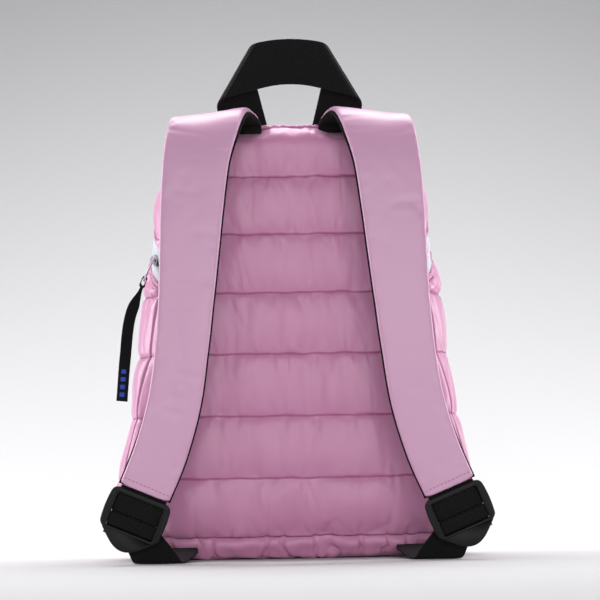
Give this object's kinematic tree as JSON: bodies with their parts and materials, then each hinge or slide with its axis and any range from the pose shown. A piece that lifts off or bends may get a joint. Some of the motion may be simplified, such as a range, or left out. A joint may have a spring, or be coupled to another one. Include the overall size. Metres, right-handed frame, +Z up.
{
  "type": "quilted puffer backpack",
  "caption": "Child's quilted puffer backpack with padded shoulder straps, webbing handle, ladder-lock adjusters and a zip over the top.",
  "frame": {"origin": "centre of the flat base, on the surface that the bag stands on", "axes": "+Z up, +Y from the worn side towards the bag's front, +X to the right as seen from the worn side"},
  "size_m": [0.3224, 0.1891, 0.439],
  "materials": {
    "pink_satin": "satin",
    "strap_satin": "satin",
    "black_mesh": "matte spacer mesh",
    "black_webbing": "matte woven webbing",
    "black_ribbon": "matte woven ribbon",
    "black_plastic": "matte moulded",
    "white_tape": "matte woven tape",
    "white_coil": "moulded",
    "silver_metal": "silver"
  },
  "bodies": {
    "bag": {"back_panel": "pink_satin", "side_panel_left": "pink_satin", "side_panel_right": "pink_satin", "front_panel": "pink_satin", "top_panel": "pink_satin", "base_panel": "pink_satin", "zip_tape_lower": "white_tape", "zip_tape_upper": "white_tape", "zip_coil": "white_coil", "zip_slider": "silver_metal", "carry_handle": "black_webbing", "strap_face_left": "strap_satin", "strap_face_right": "strap_satin", "strap_mesh_left": "black_mesh", "strap_mesh_right": "black_mesh", "strap_end_webbing_left": "black_webbing", "strap_end_webbing_right": "black_webbing", "ladder_lock_left": "black_plastic", "ladder_lock_right": "black_plastic", "lower_webbing_left": "black_webbing", "lower_webbing_right": "black_webbing"},
    "puller": {"zip_puller": "silver_metal", "pull_tab": "black_ribbon"}
  },
  "joints": [
    {"name": "puller_hinge", "type": "hinge", "parent": "bag", "child": "puller", "pos_m": [-0.11886, -0.01913, 0.25577], "axis": [-0.3454, 0.6457, -0.681], "range_deg": [0, 140]}
  ]
}
